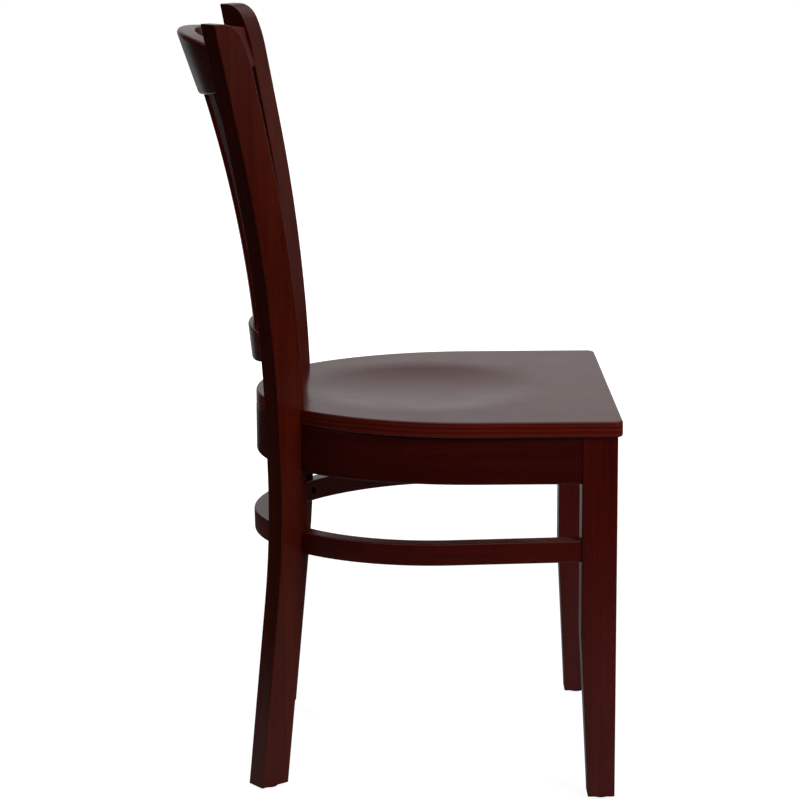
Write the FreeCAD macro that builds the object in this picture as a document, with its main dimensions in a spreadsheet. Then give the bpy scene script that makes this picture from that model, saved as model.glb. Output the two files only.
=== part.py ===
import FreeCAD, Part
import math
import os
import re
import Sketcher
from FreeCAD import Placement, Rotation, Vector

# Slat back chair. Origin under the middle of the chair on the floor, +Z up,
# the sitter faces -Y and has +X on the left. Sizes are millimetres and degrees.

DIMENSIONS = {
    # seat panel, a round-backed board with a dish turned into its top
    "seat_width": 432,
    "seat_front": -249.4,
    "seat_back": 165.8,
    "seat_top": 440,
    "seat_thickness": 18,
    "seat_round": 198,
    "seat_straight": -89,
    "seat_corner": 10,
    "seat_edge": 2.5,
    "dish_depth": 7,
    "dish_radius": 155,
    "dish_lip": 500,
    "dish_centre": -30,
    "dish_clear": 3,
    # seat frame: a bent hoop and a front rail between the legs
    "frame_width": 422,
    "frame_back": 166.1,
    "frame_round": 197.5,
    "frame_straight": -89,
    "frame_thickness": 20,
    "frame_height": 54,
    "frame_edge": 2,
    "front_rail_setback": 4,
    # stretcher hoop
    "stretcher_width": 420,
    "stretcher_back": 170,
    "stretcher_round": 184,
    "stretcher_thickness": 21,
    "stretcher_bottom": 278.1,
    "stretcher_height": 25,
    "stretcher_edge": 2,
    "stretcher_straight": -59,
    "stretcher_fall": 1.1,
    # front legs
    "leg_outside": 212,
    "leg_front": -244,
    "leg_width": 38,
    "leg_depth": 39.8,
    "leg_foot_width": 30.6,
    "leg_foot_depth": 30.6,
    "leg_taper_top": 195,
    "leg_edge": 2,
    # rear posts, sawn to one curve and turned outwards
    "post_side": 121,
    "post_base": 109,
    "post_turn": 38,
    "post_thickness": 26.4,
    "post_depth": 37.2,
    "post_edge": 1.5,
    "post_foot_lean": 7,
    "post_flat_lean": 1.8,
    "post_top_lean": 13.6,
    "post_low_bend": 1000,
    "post_high_bend": 1594,
    "post_flat_front": 2.8,
    "post_flat_start": 366,
    "post_flat_end": 415,
    "post_top": 877.2,
    "post_crown": 30,
    "post_crown_start": 140,
    "post_crown_turn": 15,
    # back rails are turned about one upright axis in front of the back
    "back_axis": -74,
    "rail_swing": 84,
    "crest_radius": 301.8,
    "crest_middle": 824.5,
    "crest_tilt": 18.76,
    "crest_thickness": 20,
    "crest_height": 74,
    "crest_edge": 4,
    "crest_top_bow": 1250,
    "crest_bottom_bow": 850,
    "lower_radius": 237.8,
    "lower_middle": 498.7,
    "lower_tilt": 6,
    "lower_thickness": 16,
    "lower_height": 42,
    "lower_edge": 2.5,
    "lower_top_bow": 2600,
    "lower_bottom_bow": 480,
    # slats
    "slat_width": 25,
    "slat_thickness": 7,
    "slat_edge": 1.5,
    "slat_bend": 1440,
    "slat_bend_radius": 1674.4,
    "slat_bend_height": 376,
    "slat_low": 5.43,
    "slat_high": 17.15,
    "slat_spacing": 12.6,
    # blocks behind the seat frame
    "block_height": 30,
    "corner_block_leg": 50,
    "seat_block_inner": 150,
    "seat_block_turn": 18,
    "seat_block_span": 17,
    # a housing is cut a little past the piece that it is cut in,
    # and the ends of the back rails are sawn off in a wide sweep
    "housing_past": 6,
    "trim_front": 60,
    "trim_back": 180,
    "trim_out": 150,
    # dowels
    "large_dowel": 10,
    "small_dowel": 8,
    "large_dowel_length": 38,
    "small_dowel_length": 33,
    "dowel_turn": 34.5,
    "dowel_spread": 0.18,
    "dowel_low": 379,
    "dowel_high": 400,
    "frame_dowel_length": 40,
    "rail_dowel_bite": 18,
    "crest_dowel_bite": 18,
    "lower_dowel_bite": 16,
    # bolts, washers, inserts and screws
    "bolt_diameter": 6,
    "bolt_length": 29.5,
    "bolt_head": 12,
    "bolt_head_height": 5,
    "bolt_seat": -9,
    "bolt_low": 381,
    "bolt_high": 409,
    "washer_diameter": 16,
    "washer_thickness": 1.5,
    "insert_diameter": 10,
    "insert_length": 15,
    "insert_start": 5,
    "insert_hole_start": 4,
    "screw_diameter": 4.5,
    "screw_head": 8.4,
    "screw_head_height": 3,
    "screw_sink": 1,
    "head_recess": 12,
    "counterbore_depth": 5.5,
    "stretcher_screw_length": 28.5,
    "seat_screw_length": 36,
    "block_screw_length": 34,
    "block_screw_drop": 10,
    "seat_screw_in": 9,
    "seat_screw_back": 6,
    "side_screw_back": 22,
    "side_screw_bite": 14,
    "front_screw_in": 19,
    "front_screw_stop": 7,
    # glides
    "glide_diameter": 22,
    "glide_height": 3,
    "glide_edge": 2,
    "glide_pin": 6,
    "glide_pin_length": 12,
    # gap left all round a piece that sits in a hole or a housing, and spare depth of a blind hole
    "clearance": 0.15,
    "hole_spare": 1,
}

doc = FreeCAD.newDocument("slat_back_chair")
sheet = doc.addObject("Spreadsheet::Sheet", "dims")
for row, (word, size) in enumerate(DIMENSIONS.items(), start=1):
    sheet.set(f"A{row}", word)
    sheet.set(f"B{row}", str(size))
    sheet.setAlias(f"B{row}", word)
doc.recompute()

UP = Vector(0, 0, 1)
LEFT, RIGHT = 1, -1
TOUCH = 0.01
SIDES = {"left": LEFT, "right": RIGHT}

nodes = []


# Formulas

def bound(formula):
    """Point every dimension word of a formula at the sheet."""
    def in_sheet(match):
        word = match.group()
        return "dims." + word if word in DIMENSIONS else word
    return re.sub(r"[a-z][a-z_]*", in_sheet, str(formula))


def number(formula):
    """Value of a formula with the sheet's sizes."""
    return float(sheet.evalExpression(bound(formula)))


# Sketches and bodies

def new_body(name):
    return doc.addObject("PartDesign::Body", name)


def origin_feature(body, role):
    return [item for item in body.Origin.OriginFeatures if item.Role == role][0]


def new_sketch(body, name, role, lift="0"):
    """Sketch on one of the body's own planes, lifted along the plane's normal."""
    sketch = body.newObject("Sketcher::SketchObject", name)
    sketch.AttachmentSupport = (origin_feature(body, role), [""])
    sketch.MapMode = "FlatFace"
    sketch.setExpression("AttachmentOffset.Base.z", bound(lift))
    return sketch


def arc_between(start, finish, radius, turn):
    """Short arc between two points, its centre on the left (1) or the right (-1)."""
    chord = finish - start
    rise = math.sqrt(radius ** 2 - chord.Length ** 2 / 4)
    across = Vector(-chord.y, chord.x, 0).normalize()
    centre = start + chord * 0.5 + across * (turn * rise)
    first, last = (start, finish) if turn > 0 else (finish, start)
    begin = math.atan2(first.y - centre.y, first.x - centre.x)
    end = math.atan2(last.y - centre.y, last.x - centre.x)
    if end < begin:
        end += 2 * math.pi
    return Part.ArcOfCircle(Part.Circle(centre, UP, radius), begin, end)


def pin(sketch, constraint, formula):
    index = sketch.addConstraint(constraint)
    sketch.setExpression(f"Constraints[{index}]", bound(formula))


def pin_corner(sketch, side, end, spot, corner):
    """Hold one corner of an outline at its two formulas."""
    for kind, axis, formula, size in (
        ("DistanceX", -2, corner[0], spot.x),
        ("DistanceY", -1, corner[1], spot.y),
    ):
        if formula == "0":
            sketch.addConstraint(Sketcher.Constraint("PointOnObject", side, end, axis))
        else:
            pin(sketch, Sketcher.Constraint(kind, -1, 1, side, end, size), formula)


def draw(sketch, outline):
    """Draw a closed outline. A corner is (x, y), or (x, y, radius, turn) where an arc leaves it."""
    spots = [Vector(number(corner[0]), number(corner[1]), 0) for corner in outline]
    sides = []
    for corner, start, finish in zip(outline, spots, spots[1:] + spots[:1]):
        if len(corner) == 2:
            side = sketch.addGeometry(Part.LineSegment(start, finish), False)
            sides.append((side, 1, 2))
            continue
        radius = number(corner[2])
        side = sketch.addGeometry(arc_between(start, finish, radius, corner[3]), False)
        sides.append((side, 1, 2) if corner[3] > 0 else (side, 2, 1))
        pin(sketch, Sketcher.Constraint("Radius", side, radius), corner[2])
    for index, corner in enumerate(outline):
        side, begin, _ = sides[index]
        before, _, end = sides[index - 1]
        sketch.addConstraint(Sketcher.Constraint("Coincident", before, end, side, begin))
        pin_corner(sketch, side, begin, spots[index], corner)


def pad(body, sketch, length, middle=False):
    feature = body.newObject("PartDesign::Pad", body.Name + "_pad")
    feature.Profile = sketch
    feature.setExpression("Length", bound(length))
    if middle:
        feature.SideType = "Symmetric"
    doc.recompute()
    return feature


def revolve(body, sketch, angle, axis="V_Axis"):
    """Turn a sketch about one of its own axes, half the angle to each side."""
    feature = body.newObject("PartDesign::Revolution", body.Name + "_turned")
    feature.Profile = sketch
    feature.ReferenceAxis = (sketch, [axis])
    feature.setExpression("Angle", bound(angle))
    feature.Midplane = True
    doc.recompute()
    return feature


def round_edges(body, feature, radius, wanted):
    """Round the edges of a feature that a test picks."""
    picked = [f"Edge{index}" for index, edge in enumerate(feature.Shape.Edges, start=1) if wanted(edge)]
    fillet = body.newObject("PartDesign::Fillet", body.Name + "_rounded")
    fillet.Base = (feature, picked)
    fillet.setExpression("Radius", bound(radius))
    doc.recompute()
    return fillet


# Cutting tools, groups and nodes

def cylinder(name, diameter, length, place):
    rod = doc.addObject("Part::Cylinder", name)
    rod.setExpression("Radius", bound(f"({diameter}) / 2"))
    rod.setExpression("Height", bound(length))
    rod.Placement = place
    return rod


def hole(diameter, length, place):
    """Tool for a round hole, a little wider than what goes in it."""
    return cylinder("hole", f"{diameter} + 2 * clearance", length, place)


def cut(name, base, tools):
    """Piece left when the tools are taken out of the base."""
    joined = doc.addObject("Part::MultiFuse", name + "_tools")
    joined.Shapes = tools
    piece = doc.addObject("Part::Cut", name)
    piece.Base = base
    piece.Tool = joined
    return piece


def group(name, members):
    compound = doc.addObject("Part::Compound", name)
    compound.Links = members
    return compound


def node(piece, name):
    """Hand a finished piece in under its plain name."""
    piece.Label = name
    nodes.append(piece)


def shifted(place, distance):
    """The same place, moved along its own Z axis."""
    return place * Placement(Vector(0, 0, distance), Rotation())


def turned_to(direction):
    return Rotation(UP, direction)


# Places that several pieces share

FRAME_BOTTOM = "(seat_top - seat_thickness - frame_height)"
FRAME_TOP = "(seat_top - seat_thickness)"
LEG_BACK = "(leg_front + leg_depth)"
RAIL_FRONT = "(leg_front + front_rail_setback)"
RAIL_BACK = f"({RAIL_FRONT} + frame_thickness)"
BLOCK_BOTTOM = f"({FRAME_TOP} - block_height)"
FRAME_INSIDE = "(frame_width / 2 - frame_thickness)"
BOLT_HEIGHTS = ("bolt_low", "bolt_high")
DOWEL_HEIGHTS = ("dowel_low", "dowel_high")
STRETCHER_AT_LEG = "(stretcher_bottom + stretcher_height / 2)"
STRETCHER_AT_POST = f"({STRETCHER_AT_LEG} - (post_base - {LEG_BACK}) * tan(stretcher_fall))"


def post_place(side):
    """Frame of a rear post: its X axis runs to the back, away from the chair's middle."""
    base = Vector(side * number("post_side"), number("post_base"), 0)
    return Placement(base, turned_to(90 - side * number("post_turn")))


def through_post(side, along, height):
    """Place on a post's middle plane whose Z axis runs straight back."""
    return post_place(side) * Placement(Vector(along, 0, height), Rotation(Vector(0, 1, 0), 90))


def stretcher_place():
    """The stretcher falls a little from the front legs to the back."""
    pivot = Vector(0, number(LEG_BACK), number("stretcher_bottom"))
    fall = Rotation(Vector(1, 0, 0), -number("stretcher_fall"))
    return Placement(pivot, fall) * Placement(Vector(0, -number(LEG_BACK), 0), Rotation())


def stretcher_contact():
    """Where the stretcher meets the front of a post, and the lean there."""
    drop = number(f"(post_flat_start - {STRETCHER_AT_POST}) / post_low_bend")
    lean = math.asin(number("sin(post_flat_lean)") - drop)
    front = number("post_flat_front + post_low_bend * cos(post_flat_lean)")
    return front - number("post_low_bend") * math.cos(lean), math.degrees(lean)


def post_housing(side, front, height, lean, tall):
    """Tool for a housing: a block as wide as a post that leans with its front face."""
    tool = doc.addObject("Part::Box", "post_housing")
    tool.setExpression("Length", bound("post_depth"))
    tool.setExpression("Width", bound("post_thickness + 2 * clearance"))
    tool.setExpression("Height", bound(tall))
    corner = Vector(front - number("clearance"), -number("post_thickness / 2 + clearance"), height)
    tool.Placement = post_place(side) * Placement(corner, Rotation(Vector(0, 1, 0), lean))
    return tool


def frame_housing(side):
    """Housing for a post in the seat and the seat frame, on the flat of the post."""
    front = number("post_flat_front")
    height = number("post_flat_start")
    lean = number("post_flat_lean")
    return post_housing(side, front, height, lean, "seat_top - post_flat_start + housing_past")


def stretcher_housing(side):
    front, lean = stretcher_contact()
    half = number("stretcher_height / 2 + housing_past")
    front -= half * math.tan(math.radians(lean))
    bottom = number(STRETCHER_AT_POST) - half
    return post_housing(side, front, bottom, lean, "stretcher_height + 2 * housing_past")


# Round-backed outlines

def bends(kind, half):
    """Formulas for a round back: centre, side radius and the direction where the two arcs meet."""
    centre = f"({kind}_back - {kind}_round)"
    offset = f"({centre} - {kind}_straight)"
    side = f"((({half}) ^ 2 + {offset} ^ 2 - {kind}_round ^ 2) / (2 * (({half}) - {kind}_round)))"
    step = f"({side} - {kind}_round)"
    across = f"(({side} - ({half})) / {step})"
    along = f"({offset} / {step})"
    return centre, side, across, along


def round_back(kind, inset="0"):
    """Corners from the left side's straight end round the back to the right side's."""
    half = f"{kind}_width / 2"
    centre, side, across, along = bends(kind, half)
    inner = f"({kind}_round - {inset})"
    flank = f"({side} - {inset})"
    edge = f"({half} - {inset})"
    meet = f"{inner} * {across}"
    level = f"{centre} + {inner} * {along}"
    return [
        (edge, f"{kind}_straight", flank, 1),
        (meet, level, inner, 1),
        (f"-({meet})", level, flank, 1),
        (f"-{edge}", f"{kind}_straight"),
    ]


def walked_back(corners):
    """The same run of corners taken the other way."""
    backwards = []
    for index in range(len(corners) - 1, -1, -1):
        bend = corners[index - 1][2:] if index else ()
        turned = (bend[0], -bend[1]) if bend else ()
        backwards.append(corners[index][:2] + turned)
    return backwards


def hoop_outline(kind):
    """Outline of a bent hoop whose two ends stand against the front legs."""
    outer = f"{kind}_width / 2"
    inner = f"({outer} - {kind}_thickness)"
    outside = round_back(kind)
    inside = walked_back(round_back(kind, f"{kind}_thickness"))
    ends = [(f"-({outer})", LEG_BACK), (f"-{inner}", LEG_BACK)]
    return [(outer, LEG_BACK)] + outside + ends + inside + [(inner, LEG_BACK)]


def hoop(name, kind, bottom, height):
    """Bent hoop with its long edges eased."""
    body = new_body(name)
    sketch = new_sketch(body, name + "_outline", "XY_Plane", bottom)
    draw(sketch, hoop_outline(kind))
    blank = pad(body, sketch, height)
    end = number(LEG_BACK)
    round_edges(
        body, blank, f"{kind}_edge",
        lambda edge: edge.BoundBox.ZLength < TOUCH and edge.BoundBox.YMax > end + 1,
    )
    return body


# Seat

def seat_blank():
    """Board with straight sides, rounded front corners, a round back and eased edges."""
    body = new_body("seat_blank")
    sketch = new_sketch(body, "seat_outline", "XY_Plane", FRAME_TOP)
    half = "seat_width / 2"
    near = "seat_front + seat_corner"
    draw(sketch, (
        [(half, near)]
        + round_back("seat")
        + [
            (f"-({half})", near, "seat_corner", 1),
            (f"seat_corner - {half}", "seat_front"),
            (f"{half} - seat_corner", "seat_front", "seat_corner", 1),
        ]
    ))
    board = pad(body, sketch, "seat_thickness")
    round_edges(body, board, "seat_edge", lambda edge: edge.BoundBox.ZLength < TOUCH)
    return body


def dish_seat(body):
    """Turn the dish about an upright axis: a shallow bowl whose rim rolls over to the flat top."""
    both = "((dish_radius ^ 2 + dish_depth ^ 2) / (2 * dish_depth))"
    bowl = f"({both} - dish_lip)"
    meet = f"(dish_radius * {bowl} / {both})"
    drop = f"sqrt(dish_lip ^ 2 - (dish_radius - {meet}) ^ 2) - dish_lip"
    sketch = new_sketch(body, "dish_section", "XZ_Plane", "-dish_centre")
    sketch.setExpression("AttachmentOffset.Base.y", bound("seat_top"))
    draw(sketch, [
        ("0", "-dish_depth", bowl, 1),
        (meet, drop, "dish_lip", -1),
        ("dish_radius", "0"),
        ("dish_radius", "dish_clear"),
        ("0", "dish_clear"),
    ])
    groove = body.newObject("PartDesign::Groove", "seat_dish")
    groove.Profile = sketch
    groove.ReferenceAxis = (sketch, ["V_Axis"])
    groove.Angle = 360
    doc.recompute()


def make_seat():
    body = seat_blank()
    dish_seat(body)
    pilots = [hole("screw_diameter", "seat_screw_length", place) for place in seat_screw_places()]
    housings = [frame_housing(side) for side in SIDES.values()]
    node(cut("seat", body, housings + pilots), "seat")


# Seat frame and stretcher

def make_seat_frame():
    body = hoop("frame_hoop", "frame", FRAME_BOTTOM, "frame_height")
    tools = [frame_housing(side) for side in SIDES.values()]
    for place in bolt_places():
        tools.append(hole("bolt_diameter", "bolt_length", place))
        under_head = shifted(place, -number("bolt_head_height"))
        tools.append(hole("washer_diameter", "washer_thickness + bolt_head_height", under_head))
    tools += [hole("large_dowel", "frame_dowel_length", place) for place in frame_dowel_places()]
    tools += [hole("screw_diameter", "block_screw_length", place) for place in side_screw_places()]
    node(cut("seat_frame_hoop", body, tools), "seat_frame_hoop")


def make_front_rail():
    """Straight rail between the front legs, its lower edges eased."""
    body = new_body("front_rail_blank")
    sketch = new_sketch(body, "front_rail_section", "YZ_Plane")
    draw(sketch, [
        (RAIL_FRONT, FRAME_BOTTOM),
        (RAIL_BACK, FRAME_BOTTOM),
        (RAIL_BACK, FRAME_TOP),
        (RAIL_FRONT, FRAME_TOP),
    ])
    rail = pad(body, sketch, "2 * (leg_outside - leg_width)", middle=True)
    bottom = number(FRAME_BOTTOM)
    half = number("leg_outside - leg_width")
    round_edges(
        body, rail, "frame_edge",
        lambda edge: edge.BoundBox.ZMax < bottom + TOUCH and edge.BoundBox.XLength > half,
    )
    tools = [hole("large_dowel", "large_dowel_length", place) for place in rail_dowel_places()]
    tools += [hole("screw_diameter", "block_screw_length", place) for place in front_screw_places()]
    node(cut("front_rail", body, tools), "front_rail")


def make_stretcher():
    body = hoop("stretcher_blank", "stretcher", "0", "stretcher_height")
    body.Placement = stretcher_place()
    tools = [stretcher_housing(side) for side in SIDES.values()]
    for place in stretcher_screw_places():
        tools.append(hole("screw_diameter", "stretcher_screw_length", place))
        tools.append(hole("screw_head", "head_recess", shifted(place, -number("head_recess"))))
    tools += [hole("large_dowel", "frame_dowel_length", place) for place in stretcher_dowel_places()]
    node(cut("stretcher_hoop", body, tools), "stretcher_hoop")


# Front legs

def rounded_rectangle(low, high, front, back, radius):
    """Corners of a rectangle whose four corners are arcs."""
    return [
        (f"{low} + {radius}", front),
        (f"{high} - {radius}", front, radius, 1),
        (high, f"{front} + {radius}"),
        (high, f"{back} - {radius}", radius, 1),
        (f"{high} - {radius}", back),
        (f"{low} + {radius}", back, radius, 1),
        (low, f"{back} - {radius}"),
        (low, f"{front} + {radius}", radius, 1),
    ]


def leg_section(side, width, depth):
    outer = "leg_outside" if side == LEFT else f"(-leg_outside + {width})"
    inner = f"(leg_outside - {width})" if side == LEFT else "(-leg_outside)"
    return rounded_rectangle(inner, outer, "leg_front", f"(leg_front + {depth})", "leg_edge")


def make_front_leg(name, side):
    """Square leg whose back and inner faces taper to the foot."""
    body = new_body(f"leg_blank_{name}")
    upper = new_sketch(body, f"leg_upper_{name}", "XY_Plane", "leg_taper_top")
    draw(upper, leg_section(side, "leg_width", "leg_depth"))
    foot = new_sketch(body, f"leg_foot_{name}", "XY_Plane", "glide_height")
    draw(foot, leg_section(side, "leg_foot_width", "leg_foot_depth"))
    pad(body, upper, f"{FRAME_TOP} - leg_taper_top")
    taper = body.newObject("PartDesign::AdditiveLoft", f"leg_taper_{name}")
    taper.Profile = upper
    taper.Sections = [foot]
    doc.recompute()
    tools = [hole("large_dowel", "frame_dowel_length", place)
             for place in frame_dowel_places() + stretcher_dowel_places()]
    tools += [hole("large_dowel", "large_dowel_length", place) for place in rail_dowel_places()]
    tools += [hole("glide_pin", "glide_height + glide_pin_length + hole_spare", glide_place("front", side))]
    node(cut(f"front_leg_{name}", body, tools), f"front_leg_{name}")


# Rear posts

def post_line(back):
    """Points of a post's front face, or of its back face a post's depth behind it."""
    depth = "post_depth" if back else "0"
    low_bend = f"(post_low_bend - {depth})"
    high_bend = f"(post_high_bend - {depth})"
    start_x = f"(post_flat_front + {depth} * cos(post_flat_lean))"
    start_z = f"(post_flat_start - {depth} * sin(post_flat_lean))"
    rise = "(post_flat_end - post_flat_start)"
    end_x = f"({start_x} + {rise} * tan(post_flat_lean))"
    end_z = f"({start_z} + {rise})"
    knee_x = f"({start_x} + {low_bend} * (cos(post_flat_lean) - cos(post_foot_lean)))"
    knee_z = f"({start_z} - {low_bend} * (sin(post_flat_lean) + sin(post_foot_lean)))"
    foot_x = f"({knee_x} + ({knee_z} - glide_height) * tan(post_foot_lean))"
    neck_x = f"({end_x} + {high_bend} * (cos(post_flat_lean) - cos(post_top_lean)))"
    neck_z = f"({end_z} + {high_bend} * (sin(post_top_lean) - sin(post_flat_lean)))"
    return [
        (foot_x, "glide_height"),
        (knee_x, knee_z, low_bend, -1),
        (start_x, start_z),
        (end_x, end_z, high_bend, -1),
        (neck_x, neck_z),
    ]


def post_top_back():
    """How far back a post's top back corner stands."""
    neck_x, neck_z = post_line(back=True)[-1]
    return f"({neck_x} + (post_top - {neck_z}) * tan(post_top_lean))"


def post_crown():
    """Corners from the front line up over a long and a short arc to the level top."""
    lean = "post_top_lean"
    meet = "(post_top_lean + post_crown_turn)"
    long_x = f"post_crown_start * (cos({meet}) - cos({lean}))"
    long_z = f"post_crown_start * (sin({lean}) - sin({meet}))"
    short_x = f"post_crown * cos({meet})"
    short_z = f"post_crown * (sin({meet}) - 1)"
    front_x = f"({post_top_back()} - post_depth / cos({lean}))"
    level_x = f"({front_x} + {short_x} - {long_x} + tan({lean}) * ({short_z} + {long_z}))"
    return [
        (f"{level_x} - {short_x} + {long_x}", f"post_top + {short_z} + {long_z}", "post_crown_start", -1),
        (f"{level_x} - {short_x}", f"post_top + {short_z}", "post_crown", -1),
        (level_x, "post_top"),
    ]


def post_outline():
    """Side view of a post: leaning foot and top, a flat for the seat, long bends and a rounded crown."""
    back = walked_back(post_line(back=True))
    return post_line(back=False) + post_crown() + [(post_top_back(), "post_top")] + back


def make_rear_post(name, side):
    """Post sawn from a board along its side view, long edges and top rounded."""
    body = new_body(f"post_blank_{name}")
    sketch = new_sketch(body, f"post_side_view_{name}", "XZ_Plane")
    draw(sketch, post_outline())
    board = pad(body, sketch, "post_thickness", middle=True)
    foot = number("glide_height")
    top_back = Vector(number(post_top_back()), 0, number("post_top"))
    face = number("post_thickness / 2")

    def long_or_top(edge):
        on_face = abs(abs(edge.CenterOfMass.y) - face) < TOUCH and edge.BoundBox.ZMax > foot + 1
        return on_face or edge.CenterOfMass.isEqual(top_back, TOUCH)

    round_edges(body, board, "post_edge", long_or_top)
    body.Placement = post_place(side)
    tools = [hole("large_dowel", "large_dowel_length", place) for place in rail_joints("crest", side)]
    tools += [hole("small_dowel", "small_dowel_length", place) for place in rail_joints("lower", side)]
    for place in bolt_places():
        start = shifted(place, number("insert_hole_start"))
        tools.append(hole("insert_diameter", "bolt_length + insert_hole_start", start))
    tools += [hole("screw_diameter", "stretcher_screw_length", place) for place in stretcher_screw_places()]
    tools += [hole("glide_pin", "glide_height + glide_pin_length + hole_spare", glide_place("rear", side))]
    node(cut(f"rear_post_{name}", body, tools), f"rear_post_{name}")


# Back rails and slats

def leaning_section(kind):
    """Corners of a rail's section: it leans back, its top and bottom are level."""
    lean = f"{kind}_height / 2 * tan({kind}_tilt)"
    reach = f"{kind}_thickness / 2 / cos({kind}_tilt)"
    low = f"{kind}_middle - {kind}_height / 2"
    high = f"{kind}_middle + {kind}_height / 2"
    return [
        (f"{kind}_radius - {lean} - {reach}", low),
        (f"{kind}_radius - {lean} + {reach}", low),
        (f"{kind}_radius + {lean} + {reach}", high),
        (f"{kind}_radius + {lean} - {reach}", high),
    ]


def beyond_post(side):
    """Corners of the region outside a post's inner face, seen from the back axis."""
    inner_x = "(post_side - post_thickness / 2 * cos(post_turn))"
    inner_y = "(post_base - back_axis + post_thickness / 2 * sin(post_turn))"
    corners = []
    for along, out in (
        ("-trim_front", "0"), ("-trim_front", "trim_out"), ("trim_back", "trim_out"), ("trim_back", "0"),
    ):
        across = f"{inner_x} + {along} * sin(post_turn) + {out} * cos(post_turn)"
        back = f"{inner_y} + {along} * cos(post_turn) - {out} * sin(post_turn)"
        corners.append((f"{side} * ({across})", back))
    return corners


def bow_edge(body, kind, edge, way):
    """Saw a rail's top or bottom to a long arc, so that the rail is tallest in the middle."""
    half = f"{kind}_radius"
    level = f"{kind}_middle + {way} * {kind}_height / 2"
    bow = f"{kind}_{edge}_bow"
    end = f"{level} - {way} * ({bow} - sqrt({bow} ^ 2 - {half} ^ 2))"
    past = f"{level} + {way} * {kind}_height"
    view = new_sketch(body, f"{kind}_{edge}_view", "XZ_Plane")
    draw(view, [(f"-{half}", end, bow, -way), (half, end), (half, past), (f"-{half}", past)])
    saw = body.newObject("PartDesign::Pocket", f"{kind}_{edge}_cut")
    saw.Profile = view
    saw.Type = "ThroughAll"
    saw.Midplane = True
    doc.recompute()
    return saw


def back_rail_blank(kind):
    """Rail turned about the back axis, sawn to bowed edges, rounded, its ends cut to the posts."""
    body = new_body(f"{kind}_rail_blank")
    section = new_sketch(body, f"{kind}_section", "YZ_Plane")
    draw(section, leaning_section(kind))
    revolve(body, section, "rail_swing")
    bow_edge(body, kind, "top", 1)
    sawn = bow_edge(body, kind, "bottom", -1)
    reach = number(f"{kind}_radius / 2")
    round_edges(body, sawn, f"{kind}_edge", lambda edge: edge.Length > reach)
    for name, side in SIDES.items():
        ends = new_sketch(body, f"{kind}_end_{name}", "XY_Plane", f"{kind}_middle + {kind}_height")
        draw(ends, beyond_post(side))
        trim = body.newObject("PartDesign::Pocket", f"{kind}_trim_{name}")
        trim.Profile = ends
        trim.Type = "ThroughAll"
        doc.recompute()
    body.Placement = Placement(Vector(0, number("back_axis"), 0), Rotation())
    return body


def joint_point(side, kind, height):
    """Where a rail's middle line meets a post's inner face at a height."""
    slope = number(f"tan({kind}_tilt)")
    radius = number(f"{kind}_radius") + (height - number(f"{kind}_middle")) * slope
    turn = math.radians(number("post_turn"))
    start_x = number("post_side") - number("post_thickness / 2") * math.cos(turn)
    start_y = number("post_base - back_axis") + number("post_thickness / 2") * math.sin(turn)
    lean = start_x * math.sin(turn) + start_y * math.cos(turn)
    along = math.sqrt(lean ** 2 - start_x ** 2 - start_y ** 2 + radius ** 2) - lean
    across = side * (start_x + along * math.sin(turn))
    return Vector(across, number("back_axis") + start_y + along * math.cos(turn), height)


def rail_joints(kind, side):
    """Places of the two dowels at one end of a rail, Z running from the rail into the post."""
    into_post = number(f"{kind}_dowel_bite")
    length = number({"crest": "large_dowel_length", "lower": "small_dowel_length"}[kind])
    apart = number(f"{kind}_height * dowel_spread")
    turn = -number("dowel_turn") if side == LEFT else 180 + number("dowel_turn")
    places = []
    for height in (number(f"{kind}_middle") - apart, number(f"{kind}_middle") + apart):
        facing = turned_to(turn) * Rotation(Vector(0, 1, 0), 90)
        places.append(shifted(Placement(joint_point(side, kind, height), facing), into_post - length))
    return places


def slat(name, turn, grow="0"):
    """Bowed slat: a section with eased corners, turned about a level axis far behind the back."""
    body = new_body(name)
    sketch = new_sketch(body, name + "_section", "XY_Plane")
    half = f"(slat_width / 2 + {grow})"
    front = f"(-slat_bend - slat_thickness - {grow})"
    back = f"({grow} - slat_bend)"
    draw(sketch, rounded_rectangle(f"(-{half})", half, front, back, "slat_edge"))
    revolve(body, sketch, f"slat_high - slat_low + 360 / pi * {grow} / slat_bend", "H_Axis")
    bend_axis = Placement(Vector(0, number("slat_bend_radius"), number("slat_bend_height")), Rotation())
    lean = Rotation(Vector(1, 0, 0), -number("(slat_high + slat_low) / 2"))
    back_axis = Placement(Vector(0, number("back_axis"), 0), turned_to(turn))
    body.Placement = back_axis * bend_axis * Placement(Vector(), lean)
    return body


def slat_turns():
    """Directions of the slats about the back axis, from the sitter's left to right."""
    return [number("slat_spacing") * step for step in (-1.5, -0.5, 0.5, 1.5)]


def make_back():
    for index, turn in enumerate(slat_turns(), start=1):
        node(slat(f"back_slat_{index}", turn), f"back_slat_{index}")
    dowels = {"crest": ("large_dowel", "large_dowel_length"), "lower": ("small_dowel", "small_dowel_length")}
    names = {"crest": "crest_rail", "lower": "lower_back_rail"}
    for kind, (diameter, length) in dowels.items():
        tools = [slat(f"{kind}_mortise", turn, "clearance") for turn in slat_turns()]
        for side in SIDES.values():
            tools += [hole(diameter, length, place) for place in rail_joints(kind, side)]
        node(cut(names[kind], back_rail_blank(kind), tools), names[kind])


# Blocks under the seat

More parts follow.
